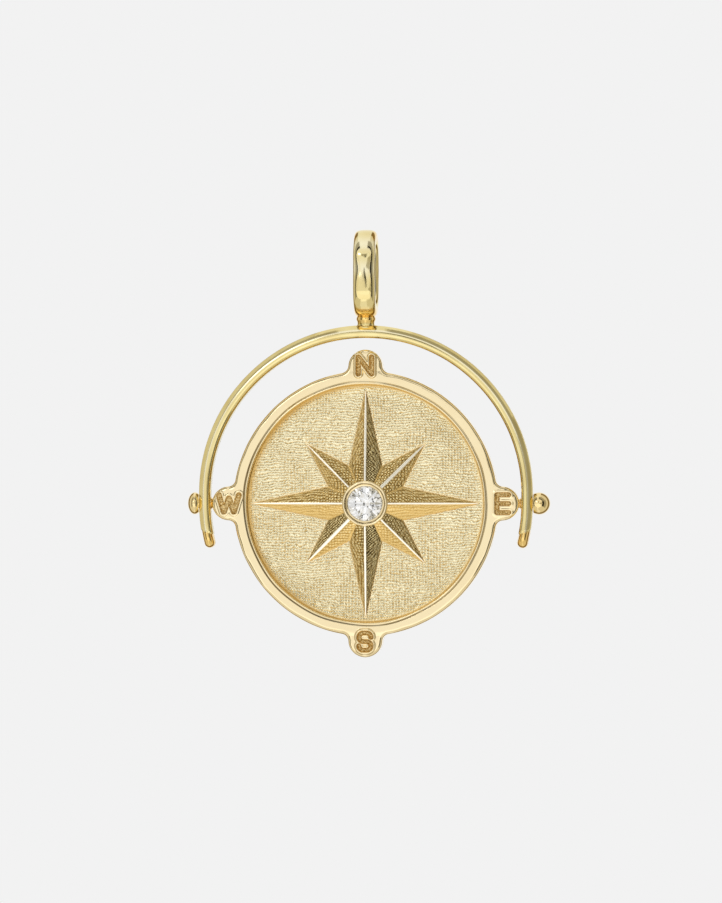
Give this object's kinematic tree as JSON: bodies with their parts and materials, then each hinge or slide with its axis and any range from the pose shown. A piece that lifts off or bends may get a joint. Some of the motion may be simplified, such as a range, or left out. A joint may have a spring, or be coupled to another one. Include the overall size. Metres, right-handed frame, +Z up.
{
  "type": "compass pendant",
  "caption": "Gold compass pendant: a lobed medallion with a raised star and a bezel-set stone, spinning on ball-headed pins in a stirrup arch under an oval bail.",
  "frame": {"origin": "top of the bail's inside, on the middle of its width and depth, where the chain bears", "axes": "+Z up as it hangs; -Y the front with the star; +X east, along the two pivot pins and along the run of the chain through the bail"},
  "size_m": [0.026, 0.0042, 0.0306],
  "materials": {
    "hanger_gold": "polished, slightly greenish yellow gold",
    "medallion_gold": "polished rim, bezel and ridges, matt textured field and star",
    "pin_gold": "polished yellow gold",
    "stone": "clear, brilliant cut"
  },
  "bodies": {
    "hanger_body": {"hanger": "hanger_gold"},
    "medallion_body": {"medallion": "medallion_gold", "west_pin": "pin_gold", "east_pin": "pin_gold", "center_stone": "stone"}
  },
  "joints": [
    {"name": "medallion_spin", "type": "hinge", "parent": "hanger_body", "child": "medallion_body", "pos_m": [0, 0, -0.01856], "axis": [1, 0, 0], "continuous": true}
  ]
}
